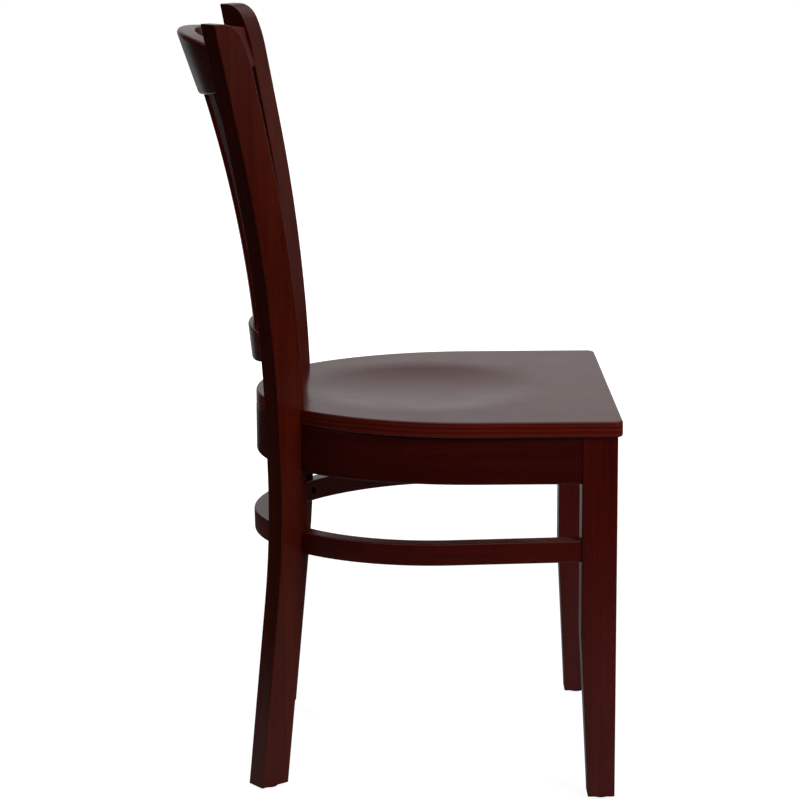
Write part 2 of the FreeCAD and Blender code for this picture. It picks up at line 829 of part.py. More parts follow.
def make_corner_block(name, side):
    """Block that fills the corner between the hoop, the front leg and the front rail."""
    body = new_body(f"corner_block_blank_{name}")
    sketch = new_sketch(body, f"corner_block_outline_{name}", "XY_Plane", BLOCK_BOTTOM)
    leg_inside = "(leg_outside - leg_width)"
    corners = [
        (FRAME_INSIDE, f"{LEG_BACK} + corner_block_leg"),
        (f"({leg_inside} - corner_block_leg)", RAIL_BACK),
        (leg_inside, RAIL_BACK),
        (leg_inside, LEG_BACK),
        (FRAME_INSIDE, LEG_BACK),
    ]
    draw(sketch, [(f"{side} * {across}", along) for across, along in corners])
    pad(body, sketch, "block_height")
    tools = []
    for place in seat_screw_places() + side_screw_places() + front_screw_places():
        tools.append(hole("screw_diameter", "block_screw_length", place))
        tools.append(hole("screw_head", "head_recess", shifted(place, -number("head_recess"))))
    node(cut(f"corner_block_{name}", body, tools), f"corner_block_{name}")


def make_seat_block(name, side):
    """Glue block shaped to the inside of the hoop's round back."""
    body = new_body(f"seat_block_blank_{name}")
    section = new_sketch(body, f"seat_block_section_{name}", "YZ_Plane")
    outer = "frame_round - frame_thickness - clearance"
    draw(section, [
        ("seat_block_inner", BLOCK_BOTTOM),
        (outer, BLOCK_BOTTOM),
        (outer, FRAME_TOP),
        ("seat_block_inner", FRAME_TOP),
    ])
    revolve(body, section, "seat_block_span")
    centre = Vector(0, number("frame_back - frame_round"), 0)
    body.Placement = Placement(centre, turned_to(-side * number("seat_block_turn")))
    tools = []
    for place in seat_screw_places():
        tools.append(hole("screw_diameter", "seat_screw_length", place))
        tools.append(hole("screw_head", "head_recess", shifted(place, -number("head_recess"))))
    node(cut(f"seat_block_{name}", body, tools), f"seat_block_{name}")


# Places of the fasteners, Z running the way a fastener is driven

def seat_screw_places():
    """Up through each block into the seat."""
    level = number(f"{BLOCK_BOTTOM} + screw_head_height + screw_sink")
    across = number("leg_outside - leg_width - seat_screw_in")
    along = number(f"{LEG_BACK} + seat_screw_back")
    turn = math.radians(number("seat_block_turn"))
    radius = number("(seat_block_inner + frame_round - frame_thickness) / 2")
    centre = number("frame_back - frame_round")
    places = []
    for side in SIDES.values():
        places.append(Placement(Vector(side * across, along, level), Rotation()))
        spot = Vector(side * radius * math.sin(turn), centre + radius * math.cos(turn), level)
        places.append(Placement(spot, Rotation()))
    return places


def side_screw_places():
    """From each corner block into the side of the hoop."""
    level = number(f"{FRAME_TOP} - block_screw_drop")
    along = number(f"{LEG_BACK} + side_screw_back")
    head = number(f"{FRAME_INSIDE} + side_screw_bite - block_screw_length")
    return [Placement(Vector(side * head, along, level), Rotation(Vector(0, 1, 0), side * 90))
            for side in SIDES.values()]


def front_screw_places():
    """From each corner block into the front rail."""
    level = number(f"{FRAME_TOP} - block_screw_drop")
    across = number("leg_outside - leg_width - front_screw_in")
    head = number(f"{RAIL_FRONT} + front_screw_stop + block_screw_length")
    return [Placement(Vector(side * across, head, level), Rotation(Vector(1, 0, 0), 90))
            for side in SIDES.values()]


def bolt_places():
    """From inside the hoop straight back into each post."""
    start = number("bolt_seat - washer_thickness")
    return [through_post(side, start, number(height)) for side in SIDES.values() for height in BOLT_HEIGHTS]


def stretcher_screw_places():
    """From a counterbore inside the stretcher straight back into each post."""
    seat = number("bolt_seat + counterbore_depth - screw_sink")
    return [through_post(side, seat, number(STRETCHER_AT_POST)) for side in SIDES.values()]


def frame_dowel_places():
    """From the ends of the seat frame hoop into the front legs."""
    across = number("(frame_width - frame_thickness) / 2")
    along = number(f"{LEG_BACK} + frame_dowel_length / 2")
    return [Placement(Vector(side * across, along, number(height)), Rotation(Vector(1, 0, 0), 90))
            for side in SIDES.values() for height in DOWEL_HEIGHTS]


def stretcher_dowel_places():
    """From the ends of the stretcher hoop into the front legs."""
    across = number("(stretcher_width - stretcher_thickness) / 2")
    along = number(f"{LEG_BACK} + frame_dowel_length / 2")
    return [Placement(Vector(side * across, along, number(STRETCHER_AT_LEG)), Rotation(Vector(1, 0, 0), 90))
            for side in SIDES.values()]


def rail_dowel_places():
    """From the ends of the front rail into the front legs."""
    start = number("leg_outside - leg_width + rail_dowel_bite - large_dowel_length")
    along = number(f"{RAIL_FRONT} + frame_thickness / 2")
    return [Placement(Vector(side * start, along, number(height)), Rotation(Vector(0, 1, 0), side * 90))
            for side in SIDES.values() for height in DOWEL_HEIGHTS]


def glide_place(end, side):
    """Under the middle of a foot."""
    if end == "front":
        across = number("leg_outside - leg_foot_width / 2")
        return Placement(Vector(side * across, number("leg_front + leg_foot_depth / 2"), 0), Rotation())
    front = number(post_line(back=False)[0][0])
    back = number(post_line(back=True)[0][0])
    return post_place(side) * Placement(Vector((front + back) / 2, 0, 0), Rotation())


# Fasteners and glides

def headed(name, head, head_height, shank, length, place):
    """Fastener with its head behind the place and its shank in front."""
    top = cylinder(name + "_head", head, head_height, shifted(place, -number(head_height)))
    stem = cylinder(name + "_shank", shank, length, place)
    fastener = doc.addObject("Part::MultiFuse", name)
    fastener.Shapes = [top, stem]
    return fastener


def ring(name, outer, inner, length, place):
    """Plain tube, used for washers and inserts."""
    tube = doc.addObject("Part::Cut", name)
    tube.Base = cylinder(name + "_outside", outer, length, place)
    tube.Tool = cylinder(name + "_bore", inner, length, place)
    return tube


def make_dowels():
    rows = {
        "crest_dowels": ("large_dowel", "large_dowel_length",
                         rail_joints("crest", LEFT) + rail_joints("crest", RIGHT)),
        "lower_rail_dowels": ("small_dowel", "small_dowel_length",
                              rail_joints("lower", LEFT) + rail_joints("lower", RIGHT)),
        "frame_dowels": ("large_dowel", "frame_dowel_length", frame_dowel_places()),
        "front_rail_dowels": ("large_dowel", "large_dowel_length", rail_dowel_places()),
        "stretcher_dowels": ("large_dowel", "frame_dowel_length", stretcher_dowel_places()),
    }
    for name, (diameter, length, places) in rows.items():
        pins = [cylinder("dowel", diameter, f"{length} - 2 * clearance", shifted(place, number("clearance")))
                for place in places]
        node(group(name, pins), name)


def make_screws():
    rows = {
        "stretcher_screws": ("stretcher_screw_length - hole_spare", stretcher_screw_places()),
        "seat_screws": ("seat_screw_length - hole_spare", seat_screw_places()),
        "block_screws": ("block_screw_length - hole_spare", side_screw_places() + front_screw_places()),
    }
    for name, (length, places) in rows.items():
        screws = [headed("screw", "screw_head", "screw_head_height", "screw_diameter", length, place)
                  for place in places]
        node(group(name, screws), name)


def make_bolts():
    bolts, washers, inserts = [], [], []
    for place in bolt_places():
        bolts.append(headed("bolt", "bolt_head", "bolt_head_height", "bolt_diameter", "bolt_length", place))
        washers.append(ring("washer", "washer_diameter", "bolt_diameter + 2 * clearance",
                            "washer_thickness", place))
        start = shifted(place, number("insert_start - bolt_seat + washer_thickness"))
        inserts.append(ring("insert", "insert_diameter", "bolt_diameter + 2 * clearance",
                            "insert_length", start))
    node(group("post_bolts", bolts), "post_bolts")
    node(group("bolt_washers", washers), "bolt_washers")
    node(group("threaded_inserts", inserts), "threaded_inserts")


def make_glide(name, end, side):
    """Turned glide: a flat disc with a sloped rim and a pin that goes up into the foot."""
    body = new_body(name)
    section = new_sketch(body, name + "_section", "XZ_Plane")
    rim = "glide_diameter / 2"
    draw(section, [
        ("0", "0"),
        (f"{rim} - glide_edge", "0"),
        (rim, "glide_edge"),
        (rim, "glide_height"),
        ("glide_pin / 2", "glide_height"),
        ("glide_pin / 2", "glide_height + glide_pin_length"),
        ("0", "glide_height + glide_pin_length"),
    ])
    revolve(body, section, "360")
    body.Placement = glide_place(end, side)
    node(body, name)


# Assembly

make_seat()
make_seat_frame()
make_front_rail()
make_stretcher()
for side_name, side_sign in SIDES.items():
    make_front_leg(side_name, side_sign)
    make_rear_post(side_name, side_sign)
    make_corner_block(side_name, side_sign)
    make_seat_block(side_name, side_sign)
    for leg_end in ("front", "rear"):
        make_glide(f"glide_{leg_end}_{side_name}", leg_end, side_sign)
make_back()
make_dowels()
make_screws()
make_bolts()
doc.recompute()

for item in doc.Objects:
    if "Invalid" in item.State or "Error" in item.State:
        raise RuntimeError(f"{item.Name} did not build: {item.State}")
os.makedirs("parts", exist_ok=True)
for piece in nodes:
    if piece.Shape.isNull() or not piece.Shape.isValid():
        raise RuntimeError(f"{piece.Label} has no valid shape")
    piece.Shape.exportStep(f"parts/{piece.Label}.step")
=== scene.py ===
import math

import bmesh
import bpy
from mathutils import Matrix, Vector


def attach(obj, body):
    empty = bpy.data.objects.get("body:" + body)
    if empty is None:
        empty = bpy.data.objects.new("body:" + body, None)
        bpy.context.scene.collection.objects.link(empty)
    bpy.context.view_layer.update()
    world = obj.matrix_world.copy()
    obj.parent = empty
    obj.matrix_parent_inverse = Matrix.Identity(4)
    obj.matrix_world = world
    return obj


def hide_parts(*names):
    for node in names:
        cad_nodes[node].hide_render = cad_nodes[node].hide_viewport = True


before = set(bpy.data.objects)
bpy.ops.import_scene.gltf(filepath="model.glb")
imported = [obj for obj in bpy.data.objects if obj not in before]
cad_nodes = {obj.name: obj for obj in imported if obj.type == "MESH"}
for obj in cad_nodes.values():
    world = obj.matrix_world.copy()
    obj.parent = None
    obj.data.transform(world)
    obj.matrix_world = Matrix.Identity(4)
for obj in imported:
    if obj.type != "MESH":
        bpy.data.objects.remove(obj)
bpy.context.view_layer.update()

# Camera: a long lens at the chair's right side, a little above the crest rail
IMAGE_SIDE = 800
FOCAL_PIXELS = 2704.85
SENSOR_WIDTH = 36.0
CAMERA_PLACE = Vector((-3.13292, 0.01601, 1.07008))
CAMERA_PITCH = 0.2042
CAMERA_YAW = -0.0065
CAMERA_ROLL = -0.0061
HALF_PIXEL = 0.5 / IMAGE_SIDE

# Places that the grain follows, in metres
BACK_AXIS_Y = -0.074
CREST_RADIUS = 0.302
LOWER_RAIL_RADIUS = 0.238
FRAME_CENTRE_Y = -0.031
FRAME_RADIUS = 0.187
STRETCHER_CENTRE_Y = -0.014
STRETCHER_RADIUS = 0.173

# Turns that lay the grain of a straight piece along an axis
ALONG_X = (0, math.pi / 2, 0)
ALONG_Y = (math.pi / 2, 0, 0)
ALONG_Z = (0, 0, 0)

# The chair's left and right, as signs of X
SIDES = (1, -1)

# Ways in which a screw on the chair's left is driven
UPWARD = (0, 0, 1)
OUTWARD = (1, 0, 0)
FORWARD = (0, -1, 0)

# Bolts and washers, in metres; along the post is measured on its middle line, towards the back
POST_BASE = Vector((0.121, 0.109, 0))
POST_BACK = Vector((0.61566, 0.78801, 0))
BOLT_ALONG_POST = -0.0105
BOLT_HEIGHTS = (0.381, 0.409)
BOLT_HEAD = 0.006
BOLT_HEAD_HEIGHT = 0.005
BOLT_SHANK = 0.003
BOLT_LENGTH = 0.0295
BOLT_PITCH = 0.001
BOLT_SOCKET = 0.0023
WASHER_OUTSIDE = 0.008
WASHER_BORE = 0.00315
WASHER_THICKNESS = 0.0015

# Screws, in metres
SCREW_HEAD = 0.0042
SCREW_HEAD_HEIGHT = 0.003
SCREW_SHANK = 0.00225
SCREW_PITCH = 0.0018
STRETCHER_SCREW_ALONG_POST = -0.0045
STRETCHER_SCREW_HEIGHT = 0.28459
STRETCHER_SCREW_LENGTH = 0.0275
SEAT_SCREW_SPOTS = ((0.165, -0.1982, 0.396), (0.0506, 0.12434, 0.396))
SEAT_SCREW_LENGTH = 0.035
SIDE_SCREW_SPOT = (0.171, -0.1822, 0.412)
FRONT_SCREW_SPOT = (0.155, -0.199, 0.412)
BLOCK_SCREW_LENGTH = 0.033

# Heads: corners as shares of the head's radius and height, from under the head to its top
SCREW_HEAD_PROFILE = ((1, 0), (1, 0.3), (0.96, 0.62), (0.86, 0.86), (0.68, 1))
BOLT_HEAD_PROFILE = ((1, 0), (1, 0.86), (0.93, 1))

# Recesses, as shares of the head's radius and height, and the washer's roll, as a share of its thickness
CROSS_REACH = 0.56
CROSS_ARM = 0.15
CROSS_DEPTH = 0.7
SOCKET_DEPTH = 0.6
RECESS_TAPER = 0.7
WASHER_ROLL = 0.25

# Threads: depth and run-in in pitches, and how many rings of points a pitch has
THREAD_DEPTH = 0.45
THREAD_RUN_IN = 2
RINGS_PER_PITCH = 6

# Ends of a shank, as shares of its radius, and how far its neck reaches into the head, in metres
TIP_LENGTH = 2.5
TIP_RADIUS = 0.25
NECK_RADIUS = 0.9
NECK_IN_HEAD = 0.0002

# Glides, in metres: spots under the legs, and corners from the sunk nail head round to the nail's tip
GLIDE_SPOTS = {
    "glide_front_left": (0.1967, -0.2287),
    "glide_front_right": (-0.1967, -0.2287),
    "glide_rear_left": (0.1544, 0.15175),
    "glide_rear_right": (-0.1544, 0.15175),
}
GLIDE_PROFILE = (
    (0.0022, 0.0010), (0.0030, 0.0007), (0.0034, 0.0002),
    (0.0040, 0.0), (0.0058, 0.0), (0.0061, 0.0004),
    (0.0067, 0.0004), (0.0070, 0.0), (0.0090, 0.0),
    (0.0098, 0.00015), (0.0105, 0.0006), (0.0109, 0.0013),
    (0.0110, 0.0020), (0.0110, 0.0027), (0.0107, 0.0030),
    (0.0030, 0.0030), (0.0030, 0.0140), (0.0022, 0.0150),
)

# Dowels of the lower back rail, and the arc of the rail's underside, in metres
DOWEL_RADIUS = 0.004
DOWEL_IN_RAIL = 0.0167
DOWEL_LENGTH = 0.0327
DOWEL_SPOTS = ((0.106766, 0.13954, 0.49114), (0.107753, 0.140803, 0.50626))
DOWEL_WAY = (0.82413, -0.5664, 0)
UNDERSIDE_RADIUS = 0.480
UNDERSIDE_CENTRE = 0.9577
PLANED_STEPS = 8

# Meshes
AROUND = 24
SHARP_ANGLE = math.radians(35)
MERGE_DISTANCE = 1e-6

# Finishes, as linear colours
STAIN_DARK = (0.034, 0.0013, 0.0005, 1)
STAIN_LIGHT = (0.060, 0.0036, 0.0013, 1)
STAIN_PORE = (0.010, 0.0008, 0.0004, 1)
PLY_LIGHT = (0.090, 0.0072, 0.0034, 1)
PLY_MIDDLE = (0.060, 0.0036, 0.0020, 1)
PLY_DARK = (0.036, 0.0019, 0.0010, 1)
BEECH_LIGHT = (0.56, 0.37, 0.21, 1)
BEECH_DARK = (0.40, 0.23, 0.115, 1)
BEECH_PORE = (0.22, 0.11, 0.05, 1)
ZINC_LIGHT = (0.62, 0.62, 0.60, 1)
ZINC_DARK = (0.42, 0.42, 0.40, 1)
BLACKED_DARK = (0.010, 0.009, 0.008, 1)
BLACKED_LIGHT = (0.035, 0.031, 0.028, 1)
NYLON_DARK = (0.012, 0.011, 0.010, 1)
NYLON_LIGHT = (0.030, 0.028, 0.026, 1)
WHITE = (1, 1, 1, 1)

# Ranges below give a low and a high value, and then the values that they become if not 0 and 1

# Wood grain: patterns drawn out along the grain, and what each adds to the figure and the relief
CLOUD = {"stretch": 0.16, "scale": 26, "detail": 3, "roughness": 0.55, "distortion": 0.6}
STREAKS = {"stretch": 0.03, "scale": 90, "detail": 2, "roughness": 0.5, "distortion": 0.3}
LINES = {"stretch": 0.012, "scale": 240, "detail": 2, "roughness": 0.6}
PORES = {"stretch": 0.09, "scale": 1400, "detail": 1, "roughness": 0.5}
CLOUD_SHARE = 0.5
STREAKS_SHARE = 0.3
LINES_SHARE = 0.2
FIGURE_RANGE = (0.36, 0.66)
PORES_RANGE = (0.60, 0.74)
PORES_HEIGHT = -0.6
LINES_HEIGHT = 0.5

# Place of a piece in the grain pattern: a start for each kind and a step to the next piece, both slanted
UPRIGHT_CUT = (0.0, 0.37)
BENT_CUT = (5.0, 0.53)
BLOCK_CUT = (9.0, 0.41)
DOWEL_CUT = (12.0, 0.29)
FRONT_RAIL_CUT = 4.1
RAIL_DOWELS_CUT = 4.6
SEAT_CUT = 7.0
CUT_SLANT = 1.7

# Lacquer film
RUBBED_PATCHES = {"scale": 22, "detail": 3, "roughness": 0.6}
RUBBED_RANGE = (0.3, 0.7, -0.02, 0.02)
RIPPLE = {"scale": 420, "detail": 1, "roughness": 0.4}

# Plywood: heights in metres, the glue's place in a layer, and how level a face with layers may be
SEAT_TOP = 0.440
LAYER_THICKNESS = 0.0026
WAVER = {"scale": 14, "detail": 2}
WAVER_RANGE = (0.3, 0.7, -0.0003, 0.0003)
GLUE_RANGE = (0.36, 0.5)
EDGE_RANGE = (0.55, 0.35)

# Stained and bare wood
STAIN_GLOSS = 0.20
STAIN_PORES = 0.6
STAIN_GRAIN_HEIGHT = 0.6
STAIN_FILM_HEIGHT = 0.5
STAIN_RELIEF = {"Strength": 0.035, "Distance": 0.0003}
BEECH_PORES = 0.5
BEECH_ROUGHNESS = (0, 1, 0.72, 0.60)
BEECH_RELIEF = {"Strength": 0.2, "Distance": 0.0003}

# Steel and nylon
STEEL_CLOUD = {"scale": 350, "detail": 3, "roughness": 0.6}
STEEL_COLOUR_RANGE = (0.35, 0.65)
STEEL_ROUGHNESS = (0.3, 0.7, 0.26, 0.42)
NYLON_CLOUD = {"scale": 260, "detail": 3, "roughness": 0.6}
NYLON_COLOUR_RANGE = (0.4, 0.7)
NYLON_ROUGHNESS = (0.3, 0.7, 0.42, 0.62)
PEBBLE = {"scale": 2600, "detail": 1, "roughness": 0.5}
NYLON_RELIEF = {"Strength": 0.15, "Distance": 0.0002}

# Stain of each visible piece of solid wood; the low tones of the slats and the seat frame hoop are
# painted shade
POST_FINISH = {"tone": 0.9, "warmth": 1.6}
# Painted shade: the slats' stain is darkened to stand in for the shade on them
SLAT_PAINTED_SHADE = {"tone": 0.6}
UPRIGHT_FINISHES_AND_SHADE = {
    "front_leg_left": {},
    "front_leg_right": {},
    "rear_post_left": POST_FINISH,
    "rear_post_right": POST_FINISH,
    "back_slat_1": SLAT_PAINTED_SHADE,
    "back_slat_2": SLAT_PAINTED_SHADE,
    "back_slat_3": SLAT_PAINTED_SHADE,
    "back_slat_4": SLAT_PAINTED_SHADE,
}
BENT_FINISHES_AND_SHADE = {
    "crest_rail": {"bend": (BACK_AXIS_Y, CREST_RADIUS), "tone": 0.9},
    "lower_back_rail": {"bend": (BACK_AXIS_Y, LOWER_RAIL_RADIUS), "tone": 0.9},
    # Painted shade: the seat frame hoop's stain is darkened to stand in for the shade under the seat
    "seat_frame_hoop": {"bend": (FRAME_CENTRE_Y, FRAME_RADIUS), "tone": 0.66},
    "stretcher_hoop": {"bend": (STRETCHER_CENTRE_Y, STRETCHER_RADIUS), "tone": 0.98},
}

# Hidden pieces of bare wood, with the turn of the dowels' grain
BLOCKS = ("corner_block_left", "corner_block_right", "seat_block_left", "seat_block_right")
BARE_DOWELS = {
    "crest_dowels": ALONG_X,
    "front_rail_dowels": ALONG_X,
    "frame_dowels": ALONG_Y,
    "stretcher_dowels": ALONG_Y,
}

# Floor: its size in metres, its greys for scattered light and for reflections, and where these change
FLOOR_RADIUS = 9
FLOOR_SIDES = 96
FLOOR_LEVEL = -0.0005
FLOOR_NEAR = (0.8, 0.8, 0.8, 1)
FLOOR_FAR = (0.2, 0.2, 0.2, 1)
MIRRORED_NEAR = (0.14, 0.14, 0.14, 1)
MIRRORED_FAR = (0.008, 0.008, 0.008, 1)
MIRRORED_BEYOND = (0.40, 0.40, 0.40, 1)
FLOOR_GLOW_NEAR = (0.93, 0.93, 0.93, 1)
NEAR_RANGE = (1.3, 0.35)
BEYOND_RANGE = (0.5, 2.0)
BEYOND_NARROWS = 1.3

# Dome of light: ranges of direction, and the strength that each gives
ABOVE_RANGE = (0.45, 0.9, 0.0, 0.9)
DIMMED_RANGE = (0.1, 0.9, 1.0, 0.25)
BEHIND_RANGE = (0.88, 0.975, 0.0, 0.42)
AHEAD_RANGE = (0.3, -0.8, 0.0, 0.16)
DOME_BASE = 0.015

# Lamps: place and side in metres, power in watts
LAMP_TARGET = Vector((0, 0, 0.45))
LAMPS = {
    "key_softbox": {"place": (-1.9, -2.0, 2.3), "side": 1.6, "power": 100},
    "back_softbox": {"place": (2.6, 2.4, 2.2), "side": 1.8, "power": 90},
}

# Sockets of a Mix node that is set to colours
COLOUR_A = 6
COLOUR_B = 7
COLOUR_RESULT = 2


# Node helpers

def feed(tree, socket, value):
    """Link a socket to another, or set it to a plain value."""
    if isinstance(value, bpy.types.NodeSocket):
        tree.links.new(value, socket)
    else:
        socket.default_value = value


def add(tree, kind, inputs=None, **settings):
    """A shader node with its settings and inputs filled in."""
    made = tree.nodes.new("ShaderNode" + kind)
    for name, value in settings.items():
        setattr(made, name, value)
    for name, value in (inputs or {}).items():
        feed(tree, made.inputs[name], value)
    return made


def maths(tree, operation, *values):
    """Result of one maths node."""
    return add(tree, "Math", dict(enumerate(values)), operation=operation).outputs[0]


def total(tree, *terms):
    """Sum of several values."""
    so_far = terms[0]
    for term in terms[1:]:
        so_far = maths(tree, "ADD", so_far, term)
    return so_far


def mixture(tree, *shares):
    """Sum of several values, each times its share."""
    terms = [maths(tree, "MULTIPLY", value, share) for value, share in shares]
    return total(tree, *terms)


def spread(tree, value, low, high, to_low=0.0, to_high=1.0):
    """Value carried from one range to another, held at the ends."""
    ranges = {"From Min": low, "From Max": high, "To Min": to_low, "To Max": to_high}
    return add(tree, "MapRange", {"Value": value, **ranges}).outputs["Result"]


def blend(tree, factor, first, second):
    """Colour between two colours."""
    mixer = add(tree, "Mix", data_type="RGBA")
    feed(tree, mixer.inputs["Factor"], factor)
    feed(tree, mixer.inputs[COLOUR_A], first)
    feed(tree, mixer.inputs[COLOUR_B], second)
    return mixer.outputs[COLOUR_RESULT]


def noise(tree, vector, scale, detail=2.0, roughness=0.5, distortion=0.0):
    """Value of a noise texture."""
    inputs = {
        "Vector": vector,
        "Scale": scale,
        "Detail": detail,
        "Roughness": roughness,
        "Distortion": distortion,
    }
    return add(tree, "TexNoise", inputs).outputs["Fac"]


def parts_of(tree, vector):
    """X, Y and Z of a vector."""
    return add(tree, "SeparateXYZ", {"Vector": vector}).outputs


def length_of(tree, vector):
    """Length of a vector."""
    return add(tree, "VectorMath", {0: vector}, operation="LENGTH").outputs["Value"]


def new_group(name, inputs, outputs):
    """An empty shader group with named sockets: its tree, inputs and outputs."""
    tree = bpy.data.node_groups.new(name, "ShaderNodeTree")
    for title, kind in inputs:
        tree.interface.new_socket(title, in_out="INPUT", socket_type="NodeSocket" + kind)
    for title, kind in outputs:
        tree.interface.new_socket(title, in_out="OUTPUT", socket_type="NodeSocket" + kind)
    start = tree.nodes.new("NodeGroupInput")
    end = tree.nodes.new("NodeGroupOutput")
    return tree, start.outputs, end.inputs


def use_group(tree, group, inputs):
    """Place a group in a material."""
    made = tree.nodes.new("ShaderNodeGroup")
    made.node_tree = group
    for name, value in inputs.items():
        feed(tree, made.inputs[name], value)
    return made.outputs


def cleared_tree(owner):
    """The node tree of a material or world, with nothing in it."""
    owner.use_nodes = True
    owner.node_tree.nodes.clear()
    return owner.node_tree


# Shared effects

def bent_grain_group():
    """Place along a piece that is bent round an upright axis: across, up, along the bend."""
    tree, given, result = new_group(
        "bent_grain",
        [("Place", "Vector"), ("Centre Y", "Float"), ("Radius", "Float")],
        [("Grain Place", "Vector")],
    )
    parts = parts_of(tree, given["Place"])
    behind = maths(tree, "SUBTRACT", parts["Y"], given["Centre Y"])
    round_part = maths(tree, "MAXIMUM", behind, 0.0)
    straight_part = maths(tree, "MAXIMUM", maths(tree, "MULTIPLY", behind, -1.0), 0.0)
    angle = maths(tree, "ARCTAN2", parts["X"], round_part)
    bend_run = maths(tree, "MULTIPLY", angle, given["Radius"])
    straight_run = maths(tree, "MULTIPLY", maths(tree, "SIGN", parts["X"]), straight_part)
    along = maths(tree, "ADD", bend_run, straight_run)
    spoke = add(tree, "CombineXYZ", {"X": parts["X"], "Y": round_part}).outputs[0]
    across = length_of(tree, spoke)
    place = add(tree, "CombineXYZ", {"X": across, "Y": parts["Z"], "Z": along})
    feed(tree, result["Grain Place"], place.outputs[0])
    return tree


def wood_grain_group():
    """Figure, growth lines and pores of beech; the grain runs along Z of the place given."""
    tree, given, result = new_group(
        "wood_grain",
        [("Grain Place", "Vector"), ("Piece", "Float")],
        [("Figure", "Float"), ("Pores", "Float"), ("Height", "Float")],
    )
    aside = maths(tree, "MULTIPLY", given["Piece"], CUT_SLANT)
    offset = add(tree, "CombineXYZ", {"X": given["Piece"], "Y": aside}).outputs[0]
    moved = add(tree, "VectorMath", {0: given["Grain Place"], 1: offset}, operation="ADD").outputs[0]

    def pattern(stretch, **settings):
        drawn_out = add(tree, "Mapping", {"Vector": moved, "Scale": (1, 1, stretch)}).outputs[0]
        return noise(tree, drawn_out, **settings)

    cloud = pattern(**CLOUD)
    streaks = pattern(**STREAKS)
    lines = pattern(**LINES)
    pores = spread(tree, pattern(**PORES), *PORES_RANGE)
    figure = mixture(tree, (cloud, CLOUD_SHARE), (streaks, STREAKS_SHARE), (lines, LINES_SHARE))
    feed(tree, result["Figure"], spread(tree, figure, *FIGURE_RANGE))
    feed(tree, result["Pores"], pores)
    feed(tree, result["Height"], mixture(tree, (pores, PORES_HEIGHT), (lines, LINES_HEIGHT)))
    return tree


def lacquer_group():
    """Sheen of a sprayed film: slow changes of gloss and a fine ripple."""
    tree, given, result = new_group(
        "lacquer_film",
        [("Place", "Vector"), ("Gloss", "Float")],
        [("Roughness", "Float"), ("Height", "Float")],
    )
    rubbed = spread(tree, noise(tree, given["Place"], **RUBBED_PATCHES), *RUBBED_RANGE)
    feed(tree, result["Roughness"], maths(tree, "ADD", given["Gloss"], rubbed))
    feed(tree, result["Height"], noise(tree, given["Place"], **RIPPLE))
    return tree


def ply_layers_group():
    """Veneer layers on the edge of plywood, counted down from the top face."""
    tree, given, result = new_group(
        "ply_layers",
        [("Place", "Vector"), ("Top", "Float"), ("Layer", "Float")],
        [("Light Layer", "Float"), ("Glue Line", "Float")],
    )
    parts = parts_of(tree, given["Place"])
    waver = spread(tree, noise(tree, given["Place"], **WAVER), *WAVER_RANGE)
    depth = maths(tree, "SUBTRACT", given["Top"], maths(tree, "ADD", parts["Z"], waver))
    count = maths(tree, "DIVIDE", depth, given["Layer"])
    # Half the layer's number has a fraction of 0 if it is even, and of 0.5 if it is odd
    halved = maths(tree, "FRACT", maths(tree, "MULTIPLY", maths(tree, "FLOOR", count), 0.5))
    feed(tree, result["Light Layer"], maths(tree, "GREATER_THAN", halved, 0.25))
    # The glue lies where a layer ends, half a layer away from its middle
    off_middle = maths(tree, "SUBTRACT", maths(tree, "FRACT", count), 0.5)
    feed(tree, result["Glue Line"], spread(tree, maths(tree, "ABSOLUTE", off_middle), *GLUE_RANGE))
    return tree


BENT_GRAIN = bent_grain_group()
WOOD_GRAIN = wood_grain_group()
LACQUER = lacquer_group()
PLY_LAYERS = ply_layers_group()


# Materials

def new_material(name):
    """A material with its nodes and its main shader."""
    material = bpy.data.materials.new(name)
    material.use_nodes = True
    tree = material.node_tree
    return material, tree, tree.nodes["Principled BSDF"]


def piece_place(tree):
    """Position on the piece, in the chair's own frame."""
    return add(tree, "TexCoord").outputs["Object"]


def turned_place(tree, turn):
    """Position turned so that Z runs along the grain of a straight piece."""
    return add(tree, "Mapping", {"Vector": piece_place(tree), "Rotation": turn}).outputs[0]


def bent_place(tree, centre_y, radius):
    """Position along a bent piece."""
    inputs = {"Place": piece_place(tree), "Centre Y": centre_y, "Radius": radius}
    return use_group(tree, BENT_GRAIN, inputs)["Grain Place"]


def cut_for(kind, number):
    """Place in the grain pattern of one piece among others of its kind."""
    start, step = kind
    return start + number * step


def toned(colour, tone, warmth):
    """A stain made darker by a low tone, which on the slats and the seat frame hoop is painted shade, or
    browner by a high warmth.
    """
    red, green, blue, alpha = colour
    return (red * tone, green * tone * warmth, blue * tone, alpha)


def raise_relief(tree, shader, height, relief):
    """Give a shader the small bumps of a height."""
    bump = add(tree, "Bump", {"Height": height, **relief})
    feed(tree, shader.inputs["Normal"], bump.outputs["Normal"])


def stain(tree, shader, grain_place, piece, tone=1.0, warmth=1.0):
    """Dark mahogany stain on beech under satin lacquer, darkened by the tone, which on some pieces is
    painted shade; gives back its colour.
    """
    grain = use_group(tree, WOOD_GRAIN, {"Grain Place": grain_place, "Piece": piece})
    film = use_group(tree, LACQUER, {"Place": piece_place(tree), "Gloss": STAIN_GLOSS})
    dark = toned(STAIN_DARK, tone, warmth)
    light = toned(STAIN_LIGHT, tone, warmth)
    colour = blend(tree, grain["Figure"], dark, light)
    colour = blend(tree, maths(tree, "MULTIPLY", grain["Pores"], STAIN_PORES), colour, STAIN_PORE)
    feed(tree, shader.inputs["Base Color"], colour)
    feed(tree, shader.inputs["Roughness"], film["Roughness"])
    of_grain = (grain["Height"], STAIN_GRAIN_HEIGHT)
    of_film = (film["Height"], STAIN_FILM_HEIGHT)
    raise_relief(tree, shader, mixture(tree, of_grain, of_film), STAIN_RELIEF)
    return colour


